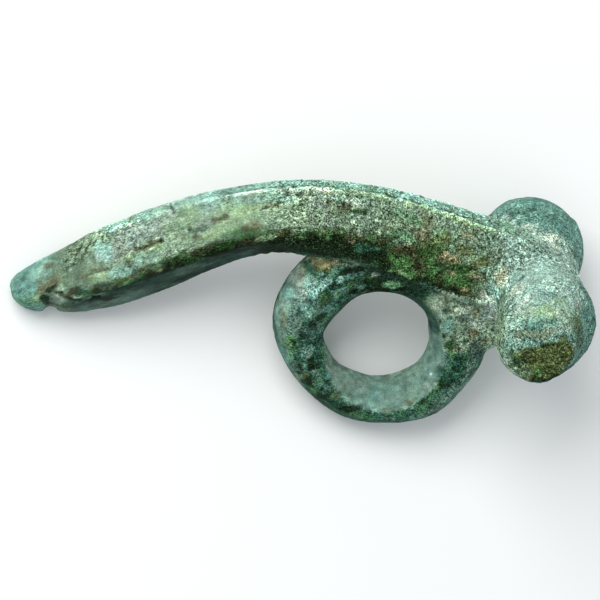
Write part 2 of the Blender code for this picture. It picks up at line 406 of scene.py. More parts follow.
def shape_ring(skin):
    """Gives the ring its uneven outline, and slopes its near face into the hole."""
    at = Places(skin)
    outwards = np.stack([at.x, np.zeros(skin.count), at.z], axis=1) / at.radius[:, None]
    for outline, share in (
        (RING_OUTLINE, ramp(at.outward, 0.0, 0.6) * ramp(at.radius, 7.0, 9.0)),
        (HOLE_OUTLINE, ramp(at.outward, 0.0, -0.6) * ramp(at.radius, 7.6, 6.4)),
    ):
        for angle, half_angle, amount in outline:
            here = np.exp(-((at.turned(angle) / half_angle) ** 2))
            skin.points += outwards * (amount * here * share * at.ring)[:, None]
    share = np.clip((at.wall_rim - at.radius) / (at.wall_rim - HOLE_RADIUS), 0.0, 1.0) ** 1.2
    nearness = np.clip((-0.5 - at.y) / (FACE_DEPTH - 0.5), 0.0, 1.0)
    lower = ramp(np.abs(at.turned(270.0)), 105.0, 60.0)
    skin.points[:, 1] += WALL_DEPTH * share * nearness * lower * (at.radius < 9.0)
    skin.update()


def cut_nick(skin):
    """The nick under the tip: a steep step on the tip's side of the next lobe, deepest at the lower edge."""
    at = Places(skin)
    past = at.x - np.interp(at.below, (2.2, 4.8, 6.2), (-33.2, -33.3, -33.4))
    across = np.minimum(ramp(past, -0.75, -0.05), ramp(past, 0.35, 0.05))
    skin.push(-NICK_DEPTH * across * ramp(at.below, 1.9, 4.0) * at.near * ramp(at.x, -29.0, -31.0))


def line_back(skin):
    """The crisp edge between the near side and the back, and the shallow channel behind it."""
    at = Places(skin)
    stretch = ramp(at.x, -20.0, -13.0) * ramp(at.x, 14.5, 12.0) * ramp(at.below, 1.1, 0.6)
    wander = 0.12 * lumps(at.points, 2.0, 7)
    lip = np.exp(-(((at.off_edge - wander) / 0.22) ** 2))
    channel = np.exp(-(((at.off_edge - 0.50 - wander) / 0.26) ** 2))
    skin.push(stretch * (0.08 * lip - 0.06 * channel))


# --- Relief ---
def crustiness(at):
    """How grainy the corroded surface is, from 0, smooth, to 1."""
    grain = 0.40 + 0.20 * fractal(at.points, 5.0, 3, 2)
    grain += (0.57 * ramp(at.x, -15.0, -7.0) - 0.12) * at.shaft
    grain += 0.25 * at.shaft * at.near * ramp(at.below, 3.0, 4.2) * ramp(at.x, -24.0, -18.0)
    grain -= 0.08 * ramp(at.x, -31.0, -35.0)
    grain += 0.20 * ramp(at.on_shaft(-31.5, 0.8, -28.0, 0.2, 0.9), 1.2, 0.6)
    grain += 0.25 * at.saddle
    grain += 0.35 * at.testicles * ramp(at.y, -12.0, -12.6) * ramp(at.z, 6.4, 5.6)
    grain += 0.20 * at.testicles * ramp(at.y, -3.0, -5.0)
    grain -= 0.40 * at.underside
    grain += 0.22 * at.ring
    grain -= 0.65 * at.ring * ramp(at.wall_rim - at.radius, -0.3, 0.6)
    grain -= 0.40 * at.ring * ramp(at.outward, 0.3, 0.7)
    grain -= 0.20 * ramp(at.about((8.0, -3.0, 4.6), (4.0, 2.5, 4.0)), 1.2, 0.7)
    return np.clip(grain, 0.05, 1.0)


def cast_surface(at, grain):
    """Unevenness, corrosion grains and pits."""
    heights = 0.06 * fractal(at.points, 3.2, 5, 3)
    heights += (0.015 + 0.075 * grain) * fractal(at.points, 0.65, 11, 2)
    heights -= 0.11 * grain * ramp(spots(at.points, 1.1, 21), 0.32, 0.10)
    heights += 0.07 * grain * ramp(spots(at.points, 0.8, 31), 0.42, 0.12)
    return heights


def drag_marks(at):
    """Faint grooves that run along the shaft, as if it was scraped smooth in the wax."""
    strip = np.stack([at.x, at.below, at.y], axis=1)
    marks = lumps(strip, (7.0, 0.50, 3.0), 41) + 0.5 * lumps(strip, (4.0, 0.35, 3.0), 43)
    return -0.06 * at.shaft * at.near * ramp(marks, 0.15, 0.9) * ramp(at.x, 2.0, -8.0)


# Larger scratches and pits on the near side: x and depth below the back at each end, half width, depth.
SCRATCHES = rows("""
-33.4 2.5 -32.4 3.4 .3 .2
-32.4 3.4 -31 5.1 .3 .2
-30.6 2.6 -27.3 3.3 .22 .1
-31 5.1 -28.6 6.1 .4 .25
-24.9 2.4 -22.2 2.3 .25 .12
-22.3 2.25 -22.2 2.2 .22 .12
-19.4 1.9 -18.4 2 .28 .15
-18.2 1.8 -15.7 1.6 .28 .12
-23.2 -.1 -22.9 .3 .25 .12
-21.1 -.1 -20.9 .2 .28 .15
-12.2 1.4 -10.3 .9 .22 .1
-30.9 .9 -29.9 .1 .16 .12
-30.2 1.2 -29.2 .2 .16 .12
-32.2 .9 -30.9 .6 .16 .1
-29 .6 -28 -.1 .16 .12
-31.8 1.4 -30.4 1.1 .14 .08
""")


def scratched(at):
    """The scratches and pits, broken up and wandering a little."""
    heights = np.zeros(len(at.points))
    broken = ramp(fractal(at.points, 0.9, 57, 2), -0.7, 0.5)
    wander = 0.5 * fractal(at.points, 0.8, 59, 2)
    for *scratch, depth in SCRATCHES:
        heights -= depth * broken * ramp(at.on_shaft(*scratch) + wander, 1.1, 0.1)
    return heights


def worn_end(at):
    """The near testicle's worn end: rubbed hollow, with a low rim and a rough floor."""
    over = at.about((15.0, -12.8, 3.4), (3.1, 3.0, 2.2)) + 0.15 * fractal(at.points, 1.5, 53, 2)
    on_end = ramp(at.facing[:, 1], -0.30, -0.65) * at.testicles
    floor = ramp(over, 1.0, 0.75)
    rim = ramp(over, 0.80, 1.0) * ramp(over, 1.25, 1.02)
    rough = fractal(at.points, 1.1, 51, 3)
    return on_end * (floor * (-0.07 + 0.13 * rough) + 0.04 * rim)


def relief(at, grain):
    """All the fine relief, as a height at every point."""
    return cast_surface(at, grain) + drag_marks(at) + scratched(at) + worn_end(at)


# --- Patina ---
class Paint:
    """The patina's colour at every point, laid coat over coat."""

    def __init__(self, at, colour):
        self.at = at
        self.colour = np.tile(np.array(PALETTE[colour]), (len(at.points), 1))

    def cover(self, shades, amount):
        """Covers so much of the colour at every point with one shade, or one a point."""
        amount = np.clip(amount, 0.0, 1.0)[:, None]
        self.colour = self.colour * (1.0 - amount) + shades * amount

    def coat(self, colour, amount):
        self.cover(np.array(PALETTE[colour]), amount)

    def graded(self, values, stops, colours, amount):
        """A coat whose colour changes along values, with one colour at each stop."""
        shades = np.array([PALETTE[colour] for colour in colours])
        self.cover(np.stack([np.interp(values, stops, shade) for shade in shades.T], axis=1), amount)

    def lighten(self, times):
        self.colour = np.minimum(self.colour * times[:, None], 0.85)

    def vary(self, amount):
        """Lightens and darkens it all in small lumps, and shifts it a little between blue and yellow."""
        points = self.at.points
        light = 0.5 * fractal(points, 0.9, 401, 2) + 1.1 * lumps(points, 0.42, 403)
        warm = 0.3 * fractal(points, 1.4, 405, 2)
        shift = np.stack([light + 0.5 * warm, light, light - 0.5 * warm], axis=1)
        self.colour = self.colour * np.exp(amount[:, None] * shift)

    def patch(self, colour, away, amount, seed, lump):
        """A coat where away is under 1, with an edge that lumps of this size make ragged."""
        near = np.flatnonzero(away < PATCH_REACH)
        edge = away[near] + PATCH_RAGGEDNESS * fractal(self.at.points[near], lump, seed, 4)
        share = (np.broadcast_to(amount, len(away))[near] * ramp(edge, *PATCH_EDGE))[:, None]
        self.colour[near] = self.colour[near] * (1.0 - share) + np.array(PALETTE[colour]) * share


# what the shaft's near side is mostly covered with, over each x
GROUND_X = (-34.0, -32.5, -30.0, -27.5, -8.0, -6.5, -4.5)
GROUND = ("teal", "ash", "ash", "sage", "sage", "mauve", "ash")

# Streaks along the shaft: colour, x and depth below the back at each end, half width, amount. In this and the
# other tables of colours, each row is painted over the rows before it.
TIP_STREAKS = rows("""
petrol -37.7 .8 -37.4 2.2 .4 .5
aqua -27.2 -.3 -21 -.3 .45 .75
aqua -35 .6 -33.6 .5 .4 .6
brown -33.9 .4 -33.2 .6 .18 .7
aqua -28.3 .8 -27.6 2 .6 .85
ice -28.5 1.7 -27.9 2 .3 .6
brown -34.4 2 -33.1 2.1 .45 .8
black -33.6 2.45 -33.1 2.5 .28 .9
mauve -33 3.6 -32.7 4.4 .5 .6
petrol -32 5.2 -31 6 .5 .6
umber -33.2 2.6 -32.4 3.4 .17 .9
umber -32.4 3.4 -31 5.1 .19 .9
umber -31.3 3.7 -30.8 3.7 .35 .8
fern -36.2 2.4 -34.8 2.8 .75 .5
lime -34.9 2.5 -34.6 2.9 .34 .65
black -34.1 2.9 -33.8 4.2 .34 .9
brown -30.5 2.55 -29.1 3.2 .13 .75
brown -29.3 2.65 -27.3 3.1 .14 .7
lime -29.2 3.5 -27.2 4.1 .36 .6
aqua -27.2 3.6 -25.4 4.1 .48 .8
petrol -30.6 4.3 -29.2 4.9 .36 .85
black -31 5.2 -30.2 5.7 .4 .9
sage -31 4.6 -28.9 5.45 .11 .9
""")
SHAFT_STREAKS = rows("""
mauve -26.4 1.1 -22.6 1.4 .78 .85
mauve -27 2.3 -25 2.1 .45 .7
brown -26.8 2.3 -25 2.2 .2 .5
brown -24.9 2.4 -22.4 2.35 .28 .8
umber -22.6 2.3 -22.3 2.15 .16 .9
lime -26 2.9 -22.4 2.8 .32 .55
aqua -24.9 3.4 -23.2 3.5 .4 .75
umber -21.2 -.4 -21.1 .1 .18 .8
ice -20.9 -.2 -18.6 -.1 .32 .8
mauve -22.8 .6 -20.8 .3 .3 .7
mauve -17.4 .3 -15.4 .1 .42 .85
brown -15.9 .5 -15.3 .5 .26 .8
brown -14.4 .45 -13 .35 .3 .85
ice -15 -.2 -14.2 -.3 .3 .6
mauve -18.6 1.8 -17.1 1.75 .32 .7
brown -17 1.65 -15.9 1.6 .32 .85
flint -19.3 2.1 -17.9 2.1 .24 .65
brown -18.9 2.6 -18.3 2.9 .26 .65
lime -16 .8 -14.2 .75 .36 .8
lime -15 1.4 -12.6 1.3 .45 .8
lime -18.1 3 -17.4 2.9 .32 .8
lime -16.8 2.8 -14.2 2.4 .6 .5
fern -16 3.2 -14.4 3.1 .4 .6
brown -13.8 2.9 -12.9 2.8 .52 .8
brown -12.1 1.35 -10.7 1.1 .13 .7
olive -6.8 3.7 -4.6 3.8 .38 .7
tan -9.3 .5 -5.2 .5 .38 .45
cream -3.7 .85 -2.4 .95 .24 .55
umber -4.2 1.5 -3.5 1.5 .36 .7
pine -3 1.65 -1.6 1.5 .15 .8
mauve -2.9 2.3 -1.2 2.3 .4 .2
sage -3 3 -2.3 3.6 .5 .6
sage 0 .5 2 .6 .45 .7
fern 1.2 1.2 3.6 1.4 .55 .5
brown 3.9 .95 4.7 .95 .3 .85
brown 3.1 2.6 4 2.6 .36 .7
fern .6 3.2 2.7 3 .38 .6
fern 4.3 2.6 6.6 2.4 .6 .5
tan 8 1.3 8.9 1.2 .3 .6
olive 7.6 2.6 8.6 2.6 .55 .7
lime 10.7 2.5 11.2 2.6 .32 .6
slate 8.4 3.9 10.8 3.8 .4 .6
""")
BAND_STREAKS = rows("""
moss -21.2 4.5 -20.2 4.3 .42 .5
umber -19.3 4.5 -18.8 4.4 .32 .75
umber -18.4 4.3 -16.9 4 .42 .7
tan -22.6 5.3 -22.4 5.3 .15 .9
umber -14 4.4 -12.9 4.4 .52 .85
lime -12.7 4.35 -11.2 4.2 .3 .6
olive -26.6 5 -25.4 4.9 .3 .7
tan -3.5 4.6 -3.2 4.6 .18 .9
petrol -2.6 5.2 -.7 5.4 .45 .8
moss .8 6 3 6.6 .6 .65
lime 1.2 7 1.9 7.1 .25 .35
moss 4.2 4.4 5 5.8 .5 .8
umber 1.4 4.5 3.8 4.6 .5 .75
umber 2.9 5.2 3.5 6.6 .4 .7
tan 5.9 3.9 7 3.8 .5 .95
umber 5.6 4.2 6.4 4.3 .3 .6
pine 7.2 4.6 9 4.4 .4 .8
moss 6.6 6.2 8 6 .55 .7
tan 6.5 5.6 7 5.6 .22 .7
tan 9 4.9 9.7 4.9 .28 .8
tan 8 6.9 8.4 6.9 .2 .7
black 4.4 7.7 7 7.7 .45 .8
""")

# Patches on the ring: colour, degrees round it, radius, half turn in degrees, half width, amount.
RING_PATCHES = rows("""
slate 150 10 24 1.4 .75
olive 121 10.9 5 .6 .7
aqua 148 11 5 .6 .7
aqua 139 10.8 4 .5 .6
mauve 143 10.1 4 .6 .7
aqua 136 9.3 6 .3 .9
aqua 126 9.5 4.5 .4 .75
aqua 119 8.9 3.5 .35 .7
brown 155 10.9 4.5 .45 .6
brown 163 10.4 4 .5 .6
petrol 153 9.3 3.5 .4 .8
petrol 146 8.8 3.5 .35 .8
slate 141 7.9 6 .4 .5
black 152 7.2 6 .45 .8
black 162 7.6 6 .5 .9
black 174 7.5 5 .45 .7
moss 176 9.4 5 .5 .8
black 176 9 2.5 .28 .8
fern 184 9.5 5 .4 .7
ash 187 7.6 2.5 .28 .7
black 194.5 7.6 4.5 .42 .95
black 197 8.9 5 .32 .9
olive 203 8.6 2.5 .35 .85
slate 203 7.5 3 .3 .8
black 208 8.4 3.5 .38 .85
moss 217 8.7 4 .3 .7
black 226 8.5 6 .38 .8
brown 231 7.5 2.5 .3 .7
black 240 8.35 7 .42 .95
moss 257 8.7 7 .35 .6
black 275 8.6 3.5 .14 .75
petrol 245 9.5 28 .4 .6
moss 300 8.3 6 .45 .45
moss 314 7.8 8 .35 .7
black 303 8 3.5 .22 .8
black 325 8.5 6 .42 .9
fern 333 7.5 5 .35 .5
petrol 342 8.2 7 .6 .8
moss 348 7.3 4.5 .45 .6
slate 325 9.9 34 .8 .5
black 358 6.8 4 .42 .9
black 5 6.3 2.2 .22 .8
petrol 358 8.3 4 .45 .8
brown 5.5 9.2 4 .6 .85
tan 6 9.5 2 .3 .8
""")
# The same for the ring's top, under the shaft, and for the web between the ring and the testicles.
WEB_PATCHES = rows("""
black 92 7.3 14 .5 .8
black 112 9.4 6 .25 .8
teal 112 8.7 8 .25 .5
ice 96 8.2 2 .2 .8
sage 84 7.1 5 .18 .85
fern 128 7.6 4 .3 .7
flint 55 8.3 9 .45 .85
black 70 6.8 10 .3 .6
cream 38 6.9 4 .5 .55
tan 42 8.5 3 .45 .7
ice 26 6.6 2 .25 .7
flint 30 7.3 3 .3 .7
cream 24 8.8 3.5 .75 .6
tan 18 9.9 3 .5 .5
umber 21 6.3 2.5 .22 .8
umber 14.5 7.3 2.5 .32 .7
aqua 13 6.5 4 .42 .85
aqua 31 9.7 2.5 .35 .6
mauve .5 7.5 2.8 .38 .7
tan 358 10.6 3 .4 .6
""")
# The same for the slope into the hole.
WALL_PATCHES = rows("""
mauve 215 6.3 14 .7 .5
mauve 245 5.9 12 .4 .5
teal 262 6.6 5 .5 .6
aqua 263 7.5 4 .4 .6
teal 285 6 12 .5 .5
brown 274 7.8 4.5 .28 .55
mauve 283 7 5 .3 .5
brown 291 7.6 3.8 .36 .8
umber 295 8 2.5 .16 .7
ice 320 6.55 1.6 .16 .9
ice 311 7 3 .18 .5
ice 333 6.6 2.6 .26 .6
teal 350 5.9 8 .4 .4
""")

# Patches on the near side: colour, x and z of the middle, half sizes along x and z, amount.
SIDE_PATCHES = rows("""
petrol -36.6 9 .7 .4 .4
sage -32.7 8.2 .5 .7 .5
black -28.4 6.7 1.2 .5 .9
ash -26 11 .9 .5 .8
ash -24 12 1.2 .5 .6
pine -19.6 11.4 1.6 .5 .7
lime -19.4 15.2 .9 .9 .5
pine -16 12.6 1.2 .5 .8
black -16.8 11.9 1.5 .5 .9
sage -10.2 15.8 .9 .5 .6
olive -10.2 13.9 .5 .3 .8
black -6.6 12.6 2.6 .45 .95
black -14.6 11.7 1.6 .35 .9
ash -6.8 15.2 1.2 .9 .8
olive 4.8 12.2 1.8 .7 .75
umber 2.2 11.8 1.5 .35 .9
pine 4.8 11.3 1.4 .6 .85
brown 4.2 13.1 .6 .5 .7
black -1 11 1.2 .6 .95
black 0 10.3 .7 .9 .95
black 3.7 7.8 1 .4 .95
ash -4 9.6 1.5 .5 .9
tan -8.4 7.9 .8 .9 .6
tan -6.5 9.5 1.6 .55 .85
black -.6 6.2 2.6 .35 .95
fern 1 6.9 .9 .4 .8
olive 10 9.7 1.2 .6 .8
ash 11.5 9.9 1.1 .8 .9
olive 11.8 10.1 .9 .9 .6
teal 6.6 2 .6 .8 .8
flint 8.2 2.9 .5 .5 .7
cream 9.4 1.7 .7 .5 .6
flint 9.6 -1.6 .8 1.5 .7
petrol 6.9 -3.9 1.2 .9 .8
pine 6.8 -.7 .8 .6 .9
black 6 -5.1 .7 .6 .8
black -3.4 -7.3 1.1 .4 .8
petrol -5 -7 .9 .5 .9
black -6.8 -2.2 .7 .5 .85
teal -10 -1 .8 1.5 .6
aqua -7.6 4.2 .6 .6 .5
aqua -7.6 -.3 .6 .6 .25
teal -7.1 1.4 .5 .8 .3
aqua .6 -7.2 1.6 .5 .4
teal -.2 -6 .9 .35 .5
teal -7 6 .7 .6 .8
pine -5.9 5.5 .7 .6 .8
""")

# Patches on the testicles and the saddle: colour, x, y and z of the middle, radii along them, amount.
END_PATCHES = rows("""
aqua 11.2 -3.5 6.6 .9 1.5 1.3 .9
cream 11.9 -3.5 8 .8 1.5 .9 .8
ice 10.6 -3.5 4.8 .9 1.5 1.2 .95
cream 10.2 -3.5 5.6 .8 1.5 .8 .6
cream 13.4 -10.4 8.2 .9 1 .7 .6
lime 17 -10.4 8.6 1 .8 .6 .5
aqua 20.8 5.6 6.6 .7 1.6 1.2 .6
teal 20.2 3.2 6.4 .8 1.4 1.2 .6
fern 12.6 0 11.4 1.3 1.2 1 .6
ice 10.8 -3.2 3.2 .9 1.5 .9 .9
cream 12.9 -7.2 8.6 1 1.4 1 .5
mauve -8.8 -1 7.4 .9 1.5 .9 .8
aqua -10.2 -1.5 5.4 .7 1.5 1.2 .5
slate -8.6 -1.2 -3.6 1 1.5 1.4 .6
tan 11.7 -3.6 8.3 .5 .8 .5 .7
fern 13.6 0 10.4 1.8 .9 .9 .5
ash 11.6 -9 4.4 .9 2.2 2.4 .7
slate 12.4 -11.3 6.8 .9 .8 1 .8
teal 12.2 -11.6 4.8 .8 .9 1.3 .6
lime 14.6 -11.3 8 1.9 .8 1 .7
cream 14 -11.6 7.6 1.4 .9 .6 .4
tan 14 -12.7 6.5 1.6 .6 .5 .5
cream 15.4 -11.6 7.2 2.4 1 1.2 .35
sage 17.2 -11 7.7 1.4 1 1 .7
mauve 18.6 -9.2 7.6 .9 .9 .7 .8
olive 18.3 -11.2 6 1.3 .9 1 .5
olive 18.4 -11 6.8 .8 .8 .7 .5
flint 17 -11 1.4 3 1.6 .9 .7
olive 18.6 -11.4 4.4 1 1 1.2 .5
olive 15 -13 3.4 3.2 1.8 2.3 .95
black 15.6 -12.4 1.2 1.6 1.2 .4 .9
pine 12.2 -12.4 3.4 .6 .9 1 .8
moss 14.2 -13 2.4 .7 .9 .5 .6
flint 14.8 6.4 9.6 1.3 .5 .5 .6
ice 13.4 5.6 9.2 .9 1.4 .7 .6
cream 15.2 3.6 9.4 1.2 1.2 .7 .5
cream 17.4 2 8.4 1.4 1.6 .9 .6
""")


def paint_streaks(paint, at, streaks, seed):
    for number, (colour, *streak, amount) in enumerate(streaks):
        paint.patch(colour, at.on_shaft(*streak), amount * at.shaft, seed + number, 0.5 + streak[-1])


def paint_shaft(paint, at):
    """The shaft's ground colours, then its streaks."""
    warp = 1.2 * fractal(at.points, 2.5, 61, 3)
    yellow = ramp(at.x, -31.0, -25.0) * ramp(fractal(at.points, 1.6, 69, 3), 0.0, 0.9)
    paint.graded(at.x + warp, GROUND_X, GROUND, at.shaft)
    paint.coat("petrol", 0.35 * at.shaft * ramp(fractal(at.points, 1.2, 67, 3), 0.1, -0.9))
    paint.coat("lime", 0.30 * at.shaft * yellow)
    paint_streaks(paint, at, TIP_STREAKS, 100)
    paint_streaks(paint, at, SHAFT_STREAKS, 140)


# how far below the back the dark band along the shaft's lower edge begins, over each x
BAND_X = (-31.0, -28.0, -25.0, -22.0, -18.0, -15.0, -12.0, -8.0, 0.0, 8.0)
BAND_TOP = (4.9, 4.6, 4.6, 4.1, 3.7, 3.1, 3.4, 3.4, 3.7, 4.3)


def paint_band(paint, at):
    """The dark green corrosion along the shaft's lower edge, and the plainer underside, with painted shade
    along the fold between them.
    """
    ragged = 0.7 * fractal(at.points, 1.2, 73, 4)
    blotch = fractal(at.points, 0.9, 77, 3)
    depth = at.below + ragged - np.interp(at.x, BAND_X, BAND_TOP)
    here = at.shaft * at.near * ramp(at.x, -32.0, -30.0) * ramp(at.x, 10.5, 8.0) * ramp(depth, -0.7, 0.7)
    paint.coat("pine", 0.9 * here)
    paint.coat("moss", 0.6 * here * ramp(blotch, 0.1, 0.7))
    paint.coat("umber", 0.85 * here * ramp(blotch, 0.0, -0.35))
    black = ramp(depth, 0.4, 1.3) * ramp(at.x, 1.0, -2.0) * (1.0 - 0.15 * ramp(at.x, -18.0, -22.0))
    paint.coat("black", 0.93 * here * black)
    paint_streaks(paint, at, BAND_STREAKS, 200)
    under = at.underside
    smears = fractal(at.points, (3.0, 0.9, 0.9), 75, 3)
    # Painted shade along the fold where the near side turns under, below its edge.
    shade_along_fold = 4.0 * under * (1.0 - under) * ramp(at.x, -31.0, -28.0) * ramp(at.x, 2.0, -2.0)
    paint.coat("flint", 0.95 * under)
    paint.coat("black", 0.6 * under * ramp(smears, 0.1, -0.6))
    paint.coat("slate", 0.3 * under * ramp(smears, 0.2, 0.8))
    paint.coat("slate", 0.5 * under * ramp(at.x, -22.0, -25.0) * ramp(at.y, -2.2, -1.5))
    paint.coat("black", 0.85 * under * ramp(at.x, -15.0, -10.0))
    paint.coat("black", 0.60 * shade_along_fold * at.near)


def paint_back(paint, at):
    """The strip along the back: bluish, partly as a painted sheen, with a dark channel, and a pale line on
    its near edge that is rubbed wear and a painted highlight.
    """
    cloud = fractal(at.points, 1.2, 81, 3)
    # Teal and aqua on the upward facet of the back: patina, and a painted bluish sheen.
    paint.coat("teal", 0.6 * at.back)
    paint.coat("aqua", 0.8 * at.back * ramp(cloud, -0.5, 0.4))
    paint.coat("lime", 0.35 * at.back * ramp(-cloud, 0.0, 0.6) * ramp(at.x, -11.0, -7.0))
    stretch = ramp(at.x, -16.0, -13.0) * ramp(at.x, 14.5, 12.0) * ramp(at.below, 1.3, 0.8)
    worn_and_lit = stretch * ramp(fractal(at.points, 1.3, 83, 3), -0.9, 0.1)
    off_edge = at.off_edge + 0.10 * cloud
    paint.coat("petrol", 0.25 * stretch * np.exp(-(((off_edge - 0.65) / 0.25) ** 2)))
    # The pale line along the near edge: rubbed wear, and a painted highlight on the edge.
    line = worn_and_lit * np.exp(-(((off_edge - 0.05) / 0.30) ** 2))
    paint.coat("cream", 0.60 * line * ramp(at.x, -2.0, -8.0))
    paint.coat("lime", 0.7 * line * ramp(at.x, -8.0, -2.0))


def paint_ring_patches(paint, at, patches, seed, share):
    for number, (colour, *place, amount) in enumerate(patches):
        paint.patch(colour, at.on_ring(*place), amount * share, seed + number, 0.4 + place[-1])


def paint_ring(paint, at):
    """The ring's dark, mottled ground, the paler web and the slope into the hole, with their patches. Shade
    is painted on the ring's top under the shaft and on the slope's upper part.
    """
    cloud = fractal(at.points, 1.4, 85, 4)
    blotch = fractal(at.points, 0.8, 87, 3)
    paint.coat("petrol", 0.85 * at.ring)
    paint.coat("teal", 0.55 * at.ring * ramp(cloud, 0.1, 0.45))
    paint.coat("moss", 0.45 * at.ring * ramp(blotch, 0.2, 0.55))
    paint.coat("black", 0.80 * at.ring * ramp(blotch, -0.25, -0.55))
    # Black on the ring's top where it runs in under the shaft: dark patina, and painted shade under the
    # shaft.
    paint.coat("black", 0.6 * at.ring * ramp(np.abs(at.turned(82.0)) + 12.0 * cloud, 36.0, 24.0))
    web = at.ring * ramp(np.abs(at.turned(20.0)), 32.0, 24.0) * ramp(at.radius, 5.8, 6.6)
    paint.coat("sage", 0.9 * web)
    paint.coat("cream", 0.30 * web * ramp(cloud, 0.0, 0.5))
    paint.coat("umber", 0.35 * web * ramp(blotch, -0.2, -0.6))
    paint_ring_patches(paint, at, RING_PATCHES + WEB_PATCHES, 300, at.ring)
    wall = at.ring * ramp(at.wall_rim - at.radius + 0.25 * cloud, -0.25, 0.25)
    lower = ramp(np.abs(at.turned(275.0)), 100.0, 85.0)
    # Slate on the slope's lower part, which faces up, and darker flint on its upper part, which faces down:
    # the flint is painted shade.
    paint.coat("slate", 0.92 * wall * lower)
    paint.coat("flint", 0.7 * wall * (1.0 - lower))
    paint_ring_patches(paint, at, WALL_PATCHES, 380, wall)


def paint_side(paint, at):
    for number, (colour, *place, amount) in enumerate(SIDE_PATCHES):
        paint.patch(colour, at.on_side(*place), amount, 460 + number, 0.4 + min(place[2:]))


def paint_ends(paint, at):
    """The saddle and the testicles: pale where they are worn, with their patches."""
    cloud = fractal(at.points, 1.6, 91, 4)
    paint.coat("ash", 0.7 * at.saddle)
    paint.coat("frost", 0.90 * at.saddle * ramp(at.x, 9.5, 13.0) * ramp(cloud, -1.1, 0.0))
    upper = at.testicles * ramp(at.z, 6.5, 8.2) * ramp(at.y, -12.0, -10.0) * ramp(at.y, 4.0, 2.5)
    paint.coat("frost", 0.90 * upper * ramp(cloud, -1.1, 0.0))
    paint.coat("petrol", 0.35 * at.testicles * ramp(cloud, 0.1, -0.7))
    paint.coat("aqua", 0.20 * at.testicles * ramp(at.y, 0.0, -4.0) * ramp(cloud, -0.2, 0.6))
    for number, (colour, *place, amount) in enumerate(END_PATCHES):
        centre, radii = place[:3], place[3:]
        paint.patch(colour, at.about(centre, radii), amount, 400 + number, 0.5 + 0.5 * min(radii))


def paint_patina(at, skin):
    """The colour at every point: all the coats, then paler edges and darker creases."""
    paint = Paint(at, "teal")
    paint_shaft(paint, at)
    paint_back(paint, at)
    paint_band(paint, at)
    paint_ring(paint, at)
    paint_side(paint, at)
    paint_ends(paint, at)
    paint.vary(0.28 + 0.12 * at.ring - 0.08 * at.testicles)
    hollow = skin.blurred(skin.hollowness(), 2)
    paint.lighten(1.0 + 0.6 * ramp(-hollow, 0.003, 0.013))
    paint.coat("black", 0.65 * ramp(hollow, 0.003, 0.012))
    return paint.colour


def grain_places(at):
    """Where the finest grain is read. Towards the tip it follows the arch and is drawn out along it."""
    along = at.x + 0.4 * np.maximum(-8.0 - at.x, 0.0)
    straightened = at.shaft * ramp(at.x, -8.0, -10.0) * (ARCH_TOP - at.below - at.z)
    return np.stack([along, at.y, at.z + straightened], axis=1)


def write_attribute(mesh, name, kind, field, values):
    attribute = mesh.attributes.new(name, kind, "POINT")
    attribute.data.foreach_set(field, np.asarray(values, np.float32).ravel())


class Shading:
    """A new material. From attribute on, each method gives the output of a node that it adds."""

    def __init__(self, name):
        self.material = bpy.data.materials.new(name)
        self.material.use_nodes = True
        self.tree = self.material.node_tree
        self.shader = self.tree.nodes["Principled BSDF"]

    def fill(self, node, inputs):
        """Sets a node's inputs to numbers and colours, or links them to other nodes' outputs."""
        for name, value in inputs.items():
            if isinstance(value, bpy.types.NodeSocket):
                self.tree.links.new(value, node.inputs[name])
            else:
                node.inputs[name].default_value = value

    def node(self, kind, inputs, **settings):
        node = self.tree.nodes.new("ShaderNode" + kind)
        for name, setting in settings.items():
            setattr(node, name, setting)
        self.fill(node, inputs)
        return node

    def attribute(self, name, output):
        return self.node("Attribute", {}, attribute_name=name).outputs[output]

    def noise(self, places, scale, detail, roughness, distortion=0.0):
        inputs = {"Scale": scale, "Detail": detail, "Roughness": roughness, "Distortion": distortion}
        return self.node("TexNoise", {"Vector": places, **inputs}).outputs["Fac"]

    def mapped(self, value, low, high, to_low=0.0, to_high=1.0):
        inputs = {"Value": value, "From Min": low, "From Max": high, "To Min": to_low, "To Max": to_high}
        return self.node("MapRange", inputs, interpolation_type="SMOOTHSTEP").outputs["Result"]

    def calculated(self, operation, first, second=0.0):
        return self.node("Math", {0: first, 1: second}, operation=operation).outputs["Value"]

    def product(self, first, second):
        return self.calculated("MULTIPLY", first, second)

    def thread(self, noise, middle, half_width):
        """Fine wandering lines: where the noise crosses middle."""
        away = self.calculated("ABSOLUTE", self.calculated("SUBTRACT", noise, middle))
        return self.mapped(away, half_width, 0.0)

    def mixed(self, amount, under, over, blend="MIX"):
        inputs = {"Factor": amount, "A": under, "B": over}
        return self.node("Mix", inputs, data_type="RGBA", blend_type=blend).outputs["Result"]


